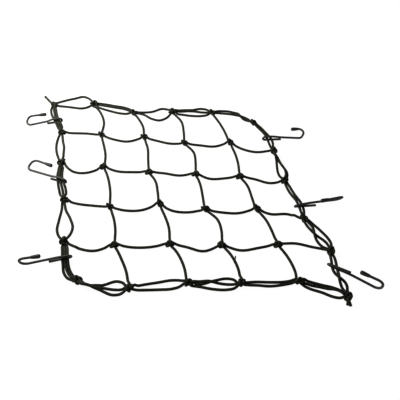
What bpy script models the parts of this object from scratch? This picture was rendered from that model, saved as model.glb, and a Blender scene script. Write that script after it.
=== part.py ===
"""Cargo net of elastic cord with six wire hooks, laid out on the ground.

Four cords run across and four run down, tied where they cross, inside a border of
two or three cords side by side. Knots and cords are one solid. Each hook is a bent
wire with a moulded tip, and its eye holds the border's cords. The net lies skewed
and uneven, as elastic cord does when it is only spread out by hand.

Frame: X to the right, Y to the far side, Z up, ground at Z = 0, origin under the
middle of the whole, hooks and loose ends counted. Sizes are in millimetres, measured
from the middle of the even lattice, and each mesh is moved and scaled to metres last.
"""

import math
from collections import namedtuple

import bmesh
import bpy
from mathutils import Matrix, Vector

MM = 0.001

# ---------------------------------------------------------------- driving sizes
CORD_D = 4.0  # braided elastic cord
WIRE_D = 3.6  # hook wire with its coating
GAP = 0.3  # air between two pieces
GROUND_AIR = 0.1  # under cords and wires, so that the knots' flats bear

PITCH = 75.0  # knot to knot
SKEW = math.radians(19.0)  # how far the spread net leans out of square
CELLS = 5  # meshes each way
BOX_MIDDLE = Vector((2.05, 11.2, 0))  # the whole's middle, from the lattice's

KNOT_ACROSS = 14.0
KNOT_ALONG = 12.4
KNOT_TALL = 8.6
EDGE_KNOT = 1.12  # the border's knots hold three cords and are this much larger
KNOT_FLAT = -0.6  # a knot is pressed flat below this share of its half height
KNOT_LOBES = 3  # the turns of an overhand knot, seen from above
KNOT_RIDGE = 0.13  # height of a turn, as a share of the knot's radius
KNOT_WIND = 2.0  # how far the turns lean round the knot, in radians from middle to top
KNOT_TURN = 0.3  # no two neighbours are turned alike: the step between them
KNOT_SIDES = 12
KNOT_RINGS = 4

CORD_SIDES = 5
WIRE_SIDES = 6
CORD_LAY = CORD_D / 2 + GROUND_AIR  # a cord's middle where it lies on the ground
CORD_AT_KNOT = 4.0  # a cord's middle where it enters a knot
CORD_FALL = 19.0  # distance from a knot's middle to where its cords lie down
SEAT_STEP = 3.0  # between the border's cords inside a knot
CROSS_SLOPE = 0.3  # how steeply a cord climbs over another
CROSS_REACH = CORD_D / 1.3  # a cord farther to the side than this is not climbed over
SHOULDER = 3.0  # how steeply the border's cords turn in to their knots, 1 for evenly

INNER_STATIONS = (0.0, 0.22, 0.4, 0.6, 0.78, 1.0)
BORDER_STATIONS = (0.0, 0.14, 0.3, 0.5, 0.7, 0.86, 1.0)
TAIL_STATIONS = (0.1, 0.4, 0.7, 1.0)

# Where each knot lies beside the even lattice, as (right, far). One line for each
# row of knots, from the far edge to the near one, and left to right in a line.
KNOT_SHIFT = (
    ((-2, 11), (-3, 19), (0, 0), (-4, 5), (-6, 8), (-6, -16)),
    ((8, 9), (3, 7), (4, 6), (1, -5), (4, 3), (3, -12)),
    ((2, 8), (-1, 2), (-1, -4), (1, -2), (-2, -4), (-3, -10)),
    ((0, -1), (-1, -10), (-1, 1), (-4, -6), (-1, 1), (-4, -15)),
    ((-6, -6), (-6, -7), (-1, 0), (0, 2), (5, 8), (8, 2)),
    ((4, 0), (2, -7), (5, 8), (4, 10), (7, 21), (-2, 1)),
)

# Bow of the inner cords at one and two thirds of each span. A cord across bows to the
# far side where it is positive, and a cord down bows to the right.
Bow = namedtuple("Bow", "first second")
ACROSS_BOW = {
    1: (Bow(1, 2), Bow(-9, -12), Bow(-3, -5), Bow(-5, -9), Bow(-10, -11)),
    2: (Bow(-17, -16), Bow(-6, -4), Bow(-2, -6), Bow(-10, -7), Bow(-3, -8)),
    3: (Bow(-3, -2), Bow(-9, -10), Bow(-10, -9), Bow(-6, -8), Bow(-4, 3)),
    4: (Bow(-11, -13), Bow(-6, -6), Bow(-6, -12), Bow(-10, -6), Bow(5, 2)),
}
DOWN_BOW = {
    1: (Bow(9, 10), Bow(3, 4), Bow(4, 4), Bow(4, 4), Bow(3, 4)),
    2: (Bow(5, 6), Bow(4, 2), Bow(6, 4), Bow(4, 5), Bow(5, 5)),
    3: (Bow(10, 7), Bow(10, 7), Bow(3, 2), Bow(11, 9), Bow(6, 6)),
    4: (Bow(3, 3), Bow(4, 4), Bow(5, 3), Bow(5, 4), Bow(4, 4)),
}

# The border's cords, one line for each cord of a span: how far it lies outside the
# straight line between its two knots, at a quarter, a half and three quarters. Where
# two cords cross, the later one lies on top.
Strand = namedtuple("Strand", "side span quarter half three_quarters")
BORDER = (
    Strand("far", 0, 12, 18, 22),
    Strand("far", 0, -4, -8, -11),
    Strand("far", 1, 6, 7, 8),
    Strand("far", 1, 2, 3, 4),
    Strand("far", 1, -7, -9, -9),
    Strand("far", 2, -5, -18, -21),
    Strand("far", 2, 0, 2, 10),
    Strand("far", 3, 6, 7, 11),
    Strand("far", 3, 3, 4, 1),
    Strand("far", 3, -6, -9, -9),
    Strand("far", 4, 6, 10, 10),
    Strand("far", 4, 13, 15, 5),
    Strand("right", 0, 9, 9, 9),
    Strand("right", 0, 5, 5, 2),
    Strand("right", 1, 2, 5, 8),
    Strand("right", 1, 1.4, 3.8, 6.6),
    Strand("right", 1, 0, -3, -6),
    Strand("right", 2, 3.5, 5.5, 6.5),
    Strand("right", 2, -2, 1, 1),
    Strand("right", 3, 7, 9, 9),
    Strand("right", 3, -3, -2, 2),
    Strand("right", 3, 3, -5, -8),
    Strand("right", 4, -7, -9, 2),
    Strand("right", 4, -1, -4, -6),
    Strand("near", 0, 3, 0, -9),
    Strand("near", 0, 4, 4, 4),
    Strand("near", 0, 5, 8, 12),
    Strand("near", 1, -4, -5, -6),
    Strand("near", 1, 4, 6, 7),
    Strand("near", 2, 2, -4, -8),
    Strand("near", 2, -2, -1, 1),
    Strand("near", 2, 6, 9, 9),
    Strand("near", 3, -2, 0, 1),
    Strand("near", 3, 3, 6, 5),
    Strand("near", 4, -3.4, -4.2, -4.8),
    Strand("near", 4, 1.4, -0.8, -3.2),
    Strand("near", 4, 7, 7, 8),
    Strand("left", 0, 8, 7, 4),
    Strand("left", 0, -1, -0.5, -2),
    Strand("left", 0, 2, 3, 1),
    Strand("left", 1, 8, 10, 8),
    Strand("left", 1, -1, -3, -2),
    Strand("left", 2, 6, 7.5, 6.3),
    Strand("left", 2, 1, 0.5, -4),
    Strand("left", 2, 3.5, 4, 1),
    Strand("left", 3, 3.2, 7, 9.5),
    Strand("left", 3, -3, -10, -13),
    Strand("left", 4, 5.5, 9, 12.5),
    Strand("left", 4, -1.5, 2.5, 4.5),
    Strand("left", 4, 2, 6, 6.8),
)

# Loose ends of the cord past the corner knots.
Tail = namedtuple("Tail", "row column heading length")
TAILS = (
    Tail(0, 0, 133, 33),
    Tail(5, 5, -90, 14.5),
    Tail(5, 5, -97, 13.5),
)

# Hooks. x, y: the closed end of the eye. heading: along the shank, from +X towards +Y.
# shank: from the eye's end to the first corner of the bend. slant: how much farther
# out the second corner is. reach: from the second corner back to the tip's end. roll:
# the bend lies flat to the far side at 0 and stands up at 90. leg: length of the eye's
# short leg. lean: how far the eye's upper wire is to the near side of its middle, and
# the lower one to the far side. splay: how far the leg's end lies to the far side of the
# shank. over: the short leg passes over the border's cords and the shank under them.
Hook = namedtuple("Hook", "x y heading shank slant reach roll leg lean splay over")
HOOKS = (
    Hook(-222.9, 145, 194, 66, -7, 31, 10, 27, 0.8, 0, False),
    Hook(-179.7, -1, 160, 78, 1, 37, 5, 29, 0.4, -2, False),
    Hook(-138, -140, 193, 69, 0, 31, 101, 32, 1.4, -1.1, False),
    Hook(138, 119, 8, 68, 14, 28, 6, 32, 0.8, 0, False),
    Hook(184, -29, 17, 73, 0, 38, 118, 34, 1.9, -2.6, False),
    Hook(223.7, -130, -27, 75, 0, 33, 94, 32, 2, 0, True),
)
EYE_HOLD = 16.5  # the stretch of an eye that has cords in it
EYE_SHUT = WIRE_D + 0.9  # shank to short leg at the leg's end, middle to middle
SHANK_STATIONS = (1 / 3, 0.5, 2 / 3, 0.83)  # from the stretch with cords to the bend
BEND_WIDE = 21.5  # shank to return leg, middle to middle
BEND_RADIUS = 8.5
TIP_LENGTH = 13.0
TIP_D = 6.0
TIP_BORE = 10.0  # depth of the blind bore
BORE_AIR = 0.5  # round the wire in the bore, which is cut with few sides
TIP_SIDES = 8
WIRE_STRAIGHT = 4.0  # of the wire before it enters the tip

WIRE_LOW = WIRE_D / 2 + GROUND_AIR
CORD_IN_EYE = WIRE_LOW + WIRE_D / 2 + GAP + CORD_D / 2
WIRE_HIGH = CORD_IN_EYE + CORD_D / 2 + GAP + WIRE_D / 2
EYE_RADIUS = (WIRE_HIGH - WIRE_LOW) / 2
EYE_FLAT = 4.0  # half the stretch of cord that lies level in an eye
EYE_EASE = 24.0  # from there to where the cord is down on the ground
EYE_STATION = EYE_FLAT + 1  # from an eye's middle to the cord's stations beside it
EYE_CLEAR = 2.2 * EYE_STATION  # no other station is nearer than this


# ---------------------------------------------------------------- scene helpers
def clear_scene():
    for item in list(bpy.data.objects):
        bpy.data.objects.remove(item, do_unlink=True)


def material(name, colour, roughness):
    made = bpy.data.materials.new(name)
    made.use_nodes = True
    shader = made.node_tree.nodes["Principled BSDF"]
    shader.inputs["Base Color"].default_value = (*colour, 1.0)
    shader.inputs["Roughness"].default_value = roughness
    return made


def collection(name):
    made = bpy.data.collections.new(name)
    bpy.context.scene.collection.children.link(made)
    return made


def mesh_object(name, bm, finish, home):
    mesh = bpy.data.meshes.new(name)
    bm.to_mesh(mesh)
    bm.free()
    mesh.transform(Matrix.Scale(MM, 4) @ Matrix.Translation(-BOX_MIDDLE))
    mesh.materials.append(finish)
    made = bpy.data.objects.new(name, mesh)
    home.objects.link(made)
    return made


def frames(points):
    """A matrix at each point of a path, Z along the path and no twist between them."""
    ways = [(b - a).normalized() for a, b in zip(points, points[1:])]
    ways = [ways[0], *[(a + b).normalized() for a, b in zip(ways, ways[1:])], ways[-1]]
    turn = ways[0].to_track_quat("Z", "Y")
    found = []
    for i, (point, way) in enumerate(zip(points, ways)):
        if i:
            turn = ways[i - 1].rotation_difference(way) @ turn
        found.append(Matrix.Translation(point) @ turn.to_matrix().to_4x4())
    return found


def tube(name, points, diameter, sides, finish, home):
    """A closed bar with flat sides along a list of points."""
    places = frames(points)
    bm = bmesh.new()
    ring = bmesh.ops.create_circle(bm, segments=sides, radius=diameter / 2, cap_ends=True)
    bmesh.ops.transform(bm, matrix=places[0], verts=ring["verts"])
    edges = [edge for edge in bm.edges if len(edge.verts) == 2]
    for before, place in zip(places, places[1:]):
        made = bmesh.ops.extrude_edge_only(bm, edges=edges)["geom"]
        edges = [part for part in made if isinstance(part, bmesh.types.BMEdge)]
        verts = [part for part in made if isinstance(part, bmesh.types.BMVert)]
        bmesh.ops.transform(bm, matrix=place @ before.inverted(), verts=verts)
    bmesh.ops.holes_fill(bm, edges=bm.edges, sides=sides)
    bmesh.ops.recalc_face_normals(bm, faces=bm.faces)
    return mesh_object(name, bm, finish, home)


def smooth_path(route, stations, swing=1.0):
    """Points of one smooth curve through the route, at shares of its length."""
    lead = route[0] + (route[0] - route[1]) * swing
    follow = route[-1] + (route[-1] - route[-2]) * swing
    ends = [lead, *route, follow]
    spans = len(route) - 1
    found = []
    for share in stations:
        place = min(int(share * spans), spans - 1)
        t = share * spans - place
        a, b, c, d = ends[place : place + 4]
        bend = (2 * a - 5 * b + 4 * c - d) * t * t + (3 * b - a - 3 * c + d) * t**3
        found.append(b + (c - a) * t / 2 + bend / 2)
    return found


def ease(share):
    share = min(max(share, 0.0), 1.0)
    return share * share * (3 - 2 * share)


# ---------------------------------------------------------------- lay of the net
def knot(row, column):
    """Middle of a knot on the ground. Row 0 is the far edge, column 0 the left one."""
    right, far = KNOT_SHIFT[row][column]
    across = (column - CELLS / 2) * PITCH
    down = (row - CELLS / 2) * PITCH
    return Vector((across + down * math.sin(SKEW) + right, far - down * math.cos(SKEW), 0))


def border_ends(side, span):
    ends = {
        "far": ((0, span), (0, span + 1)),
        "near": ((CELLS, span), (CELLS, span + 1)),
        "left": ((span, 0), (span + 1, 0)),
        "right": ((span, CELLS), (span + 1, CELLS)),
    }
    return [knot(*place) for place in ends[side]]


def outward(side, start, end):
    along = (end - start).normalized()
    left = Vector((-along.y, along.x, 0))
    return left if side in ("far", "right") else -left


def eye_axis(hook):
    turn = math.radians(hook.heading)
    return Vector((math.cos(turn), math.sin(turn), 0))


def eye_distance(hook, point):
    """How far along the border a point is from the middle of a hook's eye."""
    axis = eye_axis(hook)
    offset = point - Vector((hook.x, hook.y, 0))
    if not -2 * EYE_RADIUS < offset.dot(axis) < hook.leg:
        return math.inf
    return abs(offset.x * axis.y - offset.y * axis.x)


def cord_height(point, start, end):
    """A cord leaves its knots high, lies down, and is raised where a hook holds it."""
    away = min((point - start).length, (point - end).length)
    height = CORD_LAY + (CORD_AT_KNOT - CORD_LAY) * (1 - ease(away / CORD_FALL))
    for hook in HOOKS:
        beside = eye_distance(hook, point)
        held = 1 - ease((beside - EYE_FLAT) / EYE_EASE)
        height = max(height, CORD_LAY + (CORD_IN_EYE - CORD_LAY) * held)
    return height


def climb_over(path, laid):
    """Lift a cord's points where it crosses cords that were laid before it."""
    low = [point.z for point in path]
    for i, point in enumerate(path):
        for other in laid:
            for a, b in zip(other, other[1:]):
                step = (b - a).to_2d()
                share = (point - a).to_2d().dot(step) / step.length_squared
                foot = a.lerp(b, min(max(share, 0.0), 1.0))
                beside = (point - foot).to_2d().length
                lift = CORD_D * (1 - ease(beside / CROSS_REACH))
                if lift > 0:
                    low[i] = max(low[i], foot.z + lift)
    for i, point in enumerate(path):
        slopes = [low[j] - CROSS_SLOPE * (point - path[j]).length for j in range(len(path))]
        point.z = max(low[i], max(slopes))


def eye_stations(start, end, stations):
    """Add two stations to a span, one on each side of an eye that holds it."""
    found = list(stations)
    length = (end - start).length
    for hook in HOOKS:
        axis = eye_axis(hook)
        nub = Vector((hook.x, hook.y, 0)) - start
        run = end - start
        turn = run.x * axis.y - run.y * axis.x
        share = (nub.x * axis.y - nub.y * axis.x) / turn
        reach = (nub.y * run.x - nub.x * run.y) / turn
        if 0 < share < 1 and -hook.leg < reach < 3 * EYE_RADIUS:
            found = [s for s in found if abs(s - share) * length > EYE_CLEAR or s in (0, 1)]
            found += [share - EYE_STATION / length, share + EYE_STATION / length]
    return sorted(found)


def inner_cord(start, end, bow):
    along = (end - start).normalized()
    side = Vector((-along.y, along.x, 0))
    route = [start, start.lerp(end, 1 / 3) + side * bow.first]
    route += [start.lerp(end, 2 / 3) + side * bow.second, end]
    path = smooth_path(route, INNER_STATIONS)
    for point in path:
        point.z = cord_height(point, start, end)
    return path


def seats(offsets):
    """Places of a span's cords side by side in a knot, in the order they lie."""
    order = sorted(range(len(offsets)), key=lambda i: offsets[i])
    middle = (len(offsets) - 1) / 2
    return [(order.index(i) - middle) * SEAT_STEP for i in range(len(offsets))]


def border_span(side, span):
    start, end = border_ends(side, span)
    along = (end - start) / 4
    out = outward(side, start, end)
    strands = [row for row in BORDER if (row.side, row.span) == (side, span)]
    first = seats([row.quarter for row in strands])
    last = seats([row.three_quarters for row in strands])
    stations = eye_stations(start, end, BORDER_STATIONS)
    laid = []
    for row, leave, arrive in zip(strands, first, last):
        offsets = (leave, row.quarter, row.half, row.three_quarters, arrive)
        route = [Vector((i, off, 0)) for i, off in enumerate(offsets)]
        flat = smooth_path(route, stations, Vector((1, SHOULDER, 0)))
        path = [start + along * point.x + out * point.y for point in flat]
        for point in path:
            point.z = cord_height(point, start, end)
        climb_over(path, laid)
        laid.append(path)
    return laid


def tail_path(tail):
    start = knot(tail.row, tail.column)
    turn = math.radians(tail.heading)
    way = Vector((math.cos(turn), math.sin(turn), 0))
    path = [start + way * tail.length * share for share in TAIL_STATIONS]
    for point in path:
        point.z = cord_height(point, start, start)
    return path


def net_paths():
    inner = []
    for line, bows in ACROSS_BOW.items():
        for span, bow in enumerate(bows):
            inner.append(inner_cord(knot(line, span), knot(line, span + 1), bow))
    for line, bows in DOWN_BOW.items():
        for span, bow in enumerate(bows):
            inner.append(inner_cord(knot(span, line), knot(span + 1, line), bow))
    border = []
    for side in ("far", "right", "near", "left"):
        for span in range(CELLS):
            border += border_span(side, span)
    return inner + border + [tail_path(tail) for tail in TAILS]


# ---------------------------------------------------------------- net
def add_knot(bm, row, column):
    """A lump with the turns of an overhand knot round it, flat underneath."""
    size = EDGE_KNOT if row % CELLS == 0 or column % CELLS == 0 else 1
    shape = Matrix.Diagonal(Vector((KNOT_ACROSS, KNOT_ALONG, KNOT_TALL)) * size / 2).to_4x4()
    made = bmesh.ops.create_uvsphere(bm, u_segments=KNOT_SIDES, v_segments=KNOT_RINGS, radius=1)
    turn = Matrix.Rotation(SKEW + (row * 5 + column * 3) % 7 * KNOT_TURN, 4, "Z")
    for vert in made["verts"]:
        around = math.atan2(vert.co.y, vert.co.x)
        flat = math.hypot(vert.co.x, vert.co.y)
        swell = 1 + KNOT_RIDGE * math.cos(KNOT_LOBES * around + KNOT_WIND * vert.co.z) * flat
        pressed = vert.co.z < KNOT_FLAT
        vert.co = shape @ (turn @ (vert.co * swell))
        vert.co.z = 0 if pressed else vert.co.z + KNOT_TALL * size / 2
        vert.co += knot(row, column)


def build_net(finish, home, parts):
    bm = bmesh.new()
    for row in range(CELLS + 1):
        for column in range(CELLS + 1):
            add_knot(bm, row, column)
    net = mesh_object("net", bm, finish, home)
    for i, path in enumerate(net_paths()):
        strand = tube(f"strand_{i:03d}", path, CORD_D, CORD_SIDES, finish, parts)
        strand.hide_render = True
        strand.display_type = "WIRE"
    join = net.modifiers.new("tie", "BOOLEAN")
    join.operation = "UNION"
    join.operand_type = "COLLECTION"
    join.collection = parts
    return net


# ---------------------------------------------------------------- hooks
def arc(centre, start, across, sweep, steps):
    """Points round a centre: start and across are the arc's two half-axes."""
    turns = [sweep * i / steps for i in range(steps + 1)]
    return [centre + start * math.cos(a) + across * math.sin(a) for a in turns]


def rounded(before, corner, after, radius, steps=4):
    """A corner of a bent wire, as an arc that meets both straights."""
    back = (before - corner).normalized()
    ahead = (after - corner).normalized()
    half = back.angle(ahead) / 2
    centre = corner + (back + ahead).normalized() * radius / math.sin(half)
    start = corner + back * radius / math.tan(half) - centre
    across = (corner - centre) - start * ((corner - centre).dot(start) / start.length_squared)
    return arc(centre, start, across.normalized() * radius, math.pi - 2 * half, steps)


def hook_points(hook):
    """The corners of one hook: eye's end, shank, two corners of the bend, tip's end."""
    out = eye_axis(hook)
    side = Vector((-out.y, out.x, 0))
    if side.y < 0:
        side = -side
    up = Vector((0, 0, 1))
    turn = math.radians(hook.roll)
    across = side * math.cos(turn) + up * math.sin(turn)
    nub = Vector((hook.x, hook.y, 0))
    near = nub + out * hook.shank + up * WIRE_LOW
    far = near + out * hook.slant + across * BEND_WIDE
    far.z = max(far.z, TIP_D / 2 + GROUND_AIR)
    end = far - out * hook.reach
    return nub, out, side, near, far, end


def hook_wire(hook):
    nub, out, side, near, far, end = hook_points(hook)
    up = Vector((0, 0, 1))
    centre = nub + out * EYE_RADIUS + up * CORD_IN_EYE
    leg_side = (up * EYE_RADIUS - side * hook.lean) * (1 if hook.over else -1)
    leg = nub + out * hook.leg + up * (centre.z + leg_side.z) + side * hook.splay
    path = [leg]
    path += arc(centre, leg_side, -out * EYE_RADIUS, math.pi, 6)
    held = path[-1] + out * (EYE_HOLD - EYE_RADIUS)
    shut = nub + out * hook.leg + up * (leg.z - math.copysign(EYE_SHUT, leg_side.z))
    bend = rounded(shut, near, far, BEND_RADIUS)
    path += smooth_path([path[-1], held, shut, bend[0]], SHANK_STATIONS)
    path += bend
    path += rounded(near, far, end, BEND_RADIUS)
    back = (far - end).normalized()
    path += [end + back * (TIP_LENGTH + WIRE_STRAIGHT), end + back * (TIP_LENGTH - TIP_BORE + GAP)]
    return path


def build_tip(name, hook, finish, home):
    """A turned cap with a blind bore for the end of the wire."""
    *_, far, end = hook_points(hook)
    bore = WIRE_D / 2 + BORE_AIR
    full = TIP_D / 2
    profile = (
        (0, TIP_BORE),
        (bore, TIP_BORE),
        (bore, 0),
        (full * 0.8, 0),
        (full * 0.95, TIP_LENGTH * 0.2),
        (full, TIP_LENGTH * 0.7),
        (full * 0.7, TIP_LENGTH * 0.93),
        (0, TIP_LENGTH),
    )
    bm = bmesh.new()
    verts = [bm.verts.new((radius, 0, along)) for radius, along in profile]
    edges = [bm.edges.new(pair) for pair in zip(verts, verts[1:])]
    bmesh.ops.spin(
        bm,
        geom=verts + edges,
        cent=(0, 0, 0),
        axis=(0, 0, 1),
        angle=2 * math.pi,
        steps=TIP_SIDES,
        use_merge=True,
    )
    bmesh.ops.remove_doubles(bm, verts=bm.verts, dist=0.001)
    bmesh.ops.recalc_face_normals(bm, faces=bm.faces)
    way = (end - far).normalized()
    place = Matrix.Translation(end - way * TIP_LENGTH) @ way.to_track_quat("Z", "Y").to_matrix().to_4x4()
    bmesh.ops.transform(bm, matrix=place, verts=bm.verts)
    return mesh_object(name, bm, finish, home)


def main():
    clear_scene()
    home = collection("cargo_net")
    parts = collection("net_strands")
    cord = material("black_elastic_cord", (0.012, 0.012, 0.01), 0.8)
    wire = material("coated_hook_wire", (0.06, 0.06, 0.055), 0.5)
    cap = material("moulded_tip", (0.05, 0.05, 0.045), 0.6)
    build_net(cord, home, parts)
    for number, hook in enumerate(HOOKS, start=1):
        tube(f"hook_{number}", hook_wire(hook), WIRE_D, WIRE_SIDES, wire, home)
        build_tip(f"tip_{number}", hook, cap, home)


main()
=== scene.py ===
# %% [markdown]
# # A cargo net of elastic cord
#
# This lesson dresses the construction model of a small cargo net: elastic cord tied in a
# square mesh, with six bent-wire hooks. The model fixes where every cord and hook lies, and
# here each gets its real surface: round braided cord that is truly wound in its knots,
# smooth coated wire, and moulded tips.
#
# The solids could simply get better materials, but their cords have five flat sides and
# their knots are lumps. So each is replaced by a finer piece in the same place.

import math
from collections import namedtuple
from functools import partial

import bmesh
import bpy
import numpy as np
from mathutils import Matrix, Vector
from mathutils.kdtree import KDTree


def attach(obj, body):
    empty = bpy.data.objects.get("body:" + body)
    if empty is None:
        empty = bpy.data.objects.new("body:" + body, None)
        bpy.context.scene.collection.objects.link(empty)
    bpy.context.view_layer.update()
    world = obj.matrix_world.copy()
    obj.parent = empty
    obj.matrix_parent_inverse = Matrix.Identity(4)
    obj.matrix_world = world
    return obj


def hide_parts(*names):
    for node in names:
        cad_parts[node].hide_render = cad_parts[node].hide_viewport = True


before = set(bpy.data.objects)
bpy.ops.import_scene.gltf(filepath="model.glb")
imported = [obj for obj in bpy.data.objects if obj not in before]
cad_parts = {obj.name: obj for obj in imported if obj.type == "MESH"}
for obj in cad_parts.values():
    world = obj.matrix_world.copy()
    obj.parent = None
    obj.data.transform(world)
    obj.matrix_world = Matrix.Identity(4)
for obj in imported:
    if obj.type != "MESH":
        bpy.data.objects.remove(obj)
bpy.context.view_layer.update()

# %% [markdown]
# ## The sizes that the cords share
#
# Lengths could be in metres, as Blender has them, but they are in millimetres here, because
# that is how a net maker thinks of them. A finished mesh is moved to the frame's origin and
# scaled to metres as the last step. The cord is an elastic core in a braided cover, so it is
# thinner where a knot squeezes it.

# %% Driving sizes
MM = 0.001
BOX_MIDDLE = Vector((2.05, 11.2, 0))  # the whole's middle, from the lattice's
CORD_D = 4.0
SQUEEZED_D = 3.9  # the cord inside a pulled knot
WIRE_D = 3.6  # hook wire with its coating
GAP = 0.3  # air between a hook's eye and the cords in it
GROUND_AIR = 0.1  # under cords and wires
PITCH = 75.0  # knot to knot
SKEW = math.radians(19.0)  # how far the spread net leans out of square
CELLS = 5  # meshes each way
print("meshes", CELLS * CELLS, "of", PITCH, "mm, cord", CORD_D, "mm, wire", WIRE_D, "mm")

# %% [markdown]
# ## Where the knots and cords lie
#
# Elastic cord that is spread out by hand never lies square. Each knot has its own shift
# from the even lattice, and each cord its own bow between two knots. The border is two
# cords that run all the way round, with a third beside them in every other span, because
# the net is tied from one long cord: after each row it runs along the border to the next.
#
# The cords could be drawn by hand as curves. Short tables of shifts were chosen, because
# then a knot can be moved and all its cords follow. The first has each knot's place beside
# the even lattice, as (right, far), with a line for each row from the far edge on.

# %% Knots
KNOT_SHIFT = (
    ((-2, 11), (-3, 19), (0, 0), (-4, 5), (-6, 8), (-6, -16)),
    ((8, 9), (3, 7), (4, 6), (1, -5), (4, 3), (3, -12)),
    ((2, 8), (-1, 2), (-1, -4), (1, -2), (-2, -4), (-3, -10)),
    ((0, -1), (-1, -10), (-1, 1), (-4, -6), (-1, 1), (-4, -15)),
    ((-6, -6), (-6, -7), (-1, 0), (0, 2), (5, 8), (8, 2)),
    ((4, 0), (2, -7), (5, 8), (4, 10), (7, 21), (-2, 1)),
)


def knot(row, column):
    """Middle of a knot on the ground. Row 0 is the far edge, column 0 the left one."""
    right, far = KNOT_SHIFT[row][column]
    across = (column - CELLS / 2) * PITCH
    down = (row - CELLS / 2) * PITCH
    return Vector((across + down * math.sin(SKEW) + right, far - down * math.cos(SKEW), 0))


print("knots", sum(len(row) for row in KNOT_SHIFT), "first at", knot(0, 0).to_tuple(1))

# %% [markdown]
# An inner cord bows between its knots. Its bow is given at one and two thirds of the span:
# a cord across bows to the far side where it is positive, and a cord down to the right.

# %% Bows of the inner cords
ACROSS_BOW = {
    1: ((1, 2), (-9, -12), (-3, -5), (-5, -9), (-10, -11)),
    2: ((-17, -16), (-6, -4), (-2, -6), (-10, -7), (-3, -8)),
    3: ((-3, -2), (-9, -10), (-10, -9), (-6, -8), (-4, 3)),
    4: ((-11, -13), (-6, -6), (-6, -12), (-10, -6), (5, 2)),
}
DOWN_BOW = {
    1: ((9, 10), (3, 4), (4, 4), (4, 4), (3, 4)),
    2: ((5, 6), (4, 2), (6, 4), (4, 5), (5, 5)),
    3: ((10, 7), (10, 7), (3, 2), (11, 9), (6, 6)),
    4: ((3, 3), (4, 4), (5, 3), (5, 4), (4, 4)),
}
print("inner spans", sum(len(row) for bows in (ACROSS_BOW, DOWN_BOW) for row in bows.values()))

# %% [markdown]
# The border's cords are listed span by span: how far each lies outside the straight line
# between its two knots, at a quarter, a half and three quarters of the way.

# %% Cords of the border
Strand = namedtuple("Strand", "quarter half three_quarters")
BORDER = {
    ("far", 0): ((12, 18, 22), (-4, -8, -11)),
    ("far", 1): ((6, 7, 8), (2, 3, 4), (-7, -9, -9)),
    ("far", 2): ((-5, -18, -21), (0, 2, 10)),
    ("far", 3): ((6, 7, 11), (3, 4, 1), (-6, -9, -9)),
    ("far", 4): ((6, 10, 10), (13, 15, 5)),
    ("right", 0): ((9, 9, 9), (5, 5, 2)),
    ("right", 1): ((2, 5, 8), (1.4, 3.8, 6.6), (0, -3, -6)),
    ("right", 2): ((3.5, 5.5, 6.5), (-2, 1, 1)),
    ("right", 3): ((7, 9, 9), (-3, -2, 2), (3, -5, -8)),
    ("right", 4): ((-7, -9, 2), (-1, -4, -6)),
    ("near", 0): ((3, 0, -9), (4, 4, 4), (5, 8, 12)),
    ("near", 1): ((-4, -5, -6), (4, 6, 7)),
    ("near", 2): ((2, -4, -8), (-2, -1, 1), (6, 9, 9)),
    ("near", 3): ((-2, 0, 1), (3, 6, 5)),
    ("near", 4): ((-3.4, -4.2, -4.8), (1.4, -0.8, -3.2), (7, 7, 8)),
    ("left", 0): ((8, 7, 4), (-1, -0.5, -2), (2, 3, 1)),
    ("left", 1): ((8, 10, 8), (-1, -3, -2)),
    ("left", 2): ((6, 7.5, 6.3), (1, 0.5, -4), (3.5, 4, 1)),
    ("left", 3): ((3.2, 7, 9.5), (-3, -10, -13)),
    ("left", 4): ((5.5, 9, 12.5), (-1.5, 2.5, 4.5), (2, 6, 6.8)),
}
print("cords in the border's spans", sum(len(strands) for strands in BORDER.values()))

# %% Loose ends
Tail = namedtuple("Tail", "row column heading length")
FIRST_END = Tail(0, 0, 133, 33)
LAST_END = Tail(5, 5, -90, 14.5)
SPARE_END = Tail(5, 5, -97, 13.5)
print("loose ends", [end.length for end in (FIRST_END, LAST_END, SPARE_END)], "mm")

# %% [markdown]
# ## Where the hooks lie
#
# A hook is a wire with a long narrow eye round the border's cords, a straight shank, and a
# bend that comes back to the tip. The lay of each one is a line of measures:
#
# - x, y: the closed end of the eye, and heading: along the shank, from +X towards +Y
# - shank: from the eye's end to the first corner of the bend, slant: how much farther out
#   the second corner is, and reach: from there back to the tip's end
# - roll: the bend lies flat to the far side at 0 and stands up at 90
# - leg: length of the eye's short leg, lean: how far the eye's upper wire is to the near
#   side of its middle, splay: how far the leg's end lies to the far side of the shank
# - over: the short leg passes over the border's cords and the shank under them
#
# The measures come before the cords' paths, because an eye raises the cords that it holds.

# %% Hooks
Hook = namedtuple("Hook", "x y heading shank slant reach roll leg lean splay over")
HOOKS = (
    Hook(-222.9, 145, 194, 66, -7, 31, 10, 27, 0.8, 0, False),
    Hook(-179.7, -1, 160, 78, 1, 37, 5, 29, 0.4, -2, False),
    Hook(-138, -140, 193, 69, 0, 31, 101, 32, 1.4, -1.1, False),
    Hook(138, 119, 8, 68, 14, 28, 6, 32, 0.8, 0, False),
    Hook(184, -29, 17, 73, 0, 38, 118, 34, 1.9, -2.6, False),
    Hook(223.7, -130, -27, 75, 0, 33, 94, 32, 2, 0, True),
)
WIRE_LOW = WIRE_D / 2 + GROUND_AIR
CORD_IN_EYE = WIRE_LOW + WIRE_D / 2 + GAP + CORD_D / 2
WIRE_HIGH = CORD_IN_EYE + CORD_D / 2 + GAP + WIRE_D / 2
EYE_RADIUS = (WIRE_HIGH - WIRE_LOW) / 2
print("hooks", len(HOOKS), "with their cords", round(CORD_IN_EYE, 2), "mm up")

# %% [markdown]
# ## Paths between the knots
#
# A cord runs on smoothly through the points of the tables. A Bezier curve with automatic
# handles would do that too, but the points are needed here as numbers, so a Catmull-Rom
# curve is written out. Its height follows: a cord leaves its knots high, lies down on the
# ground, and is raised again where a hook holds it.


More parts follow.
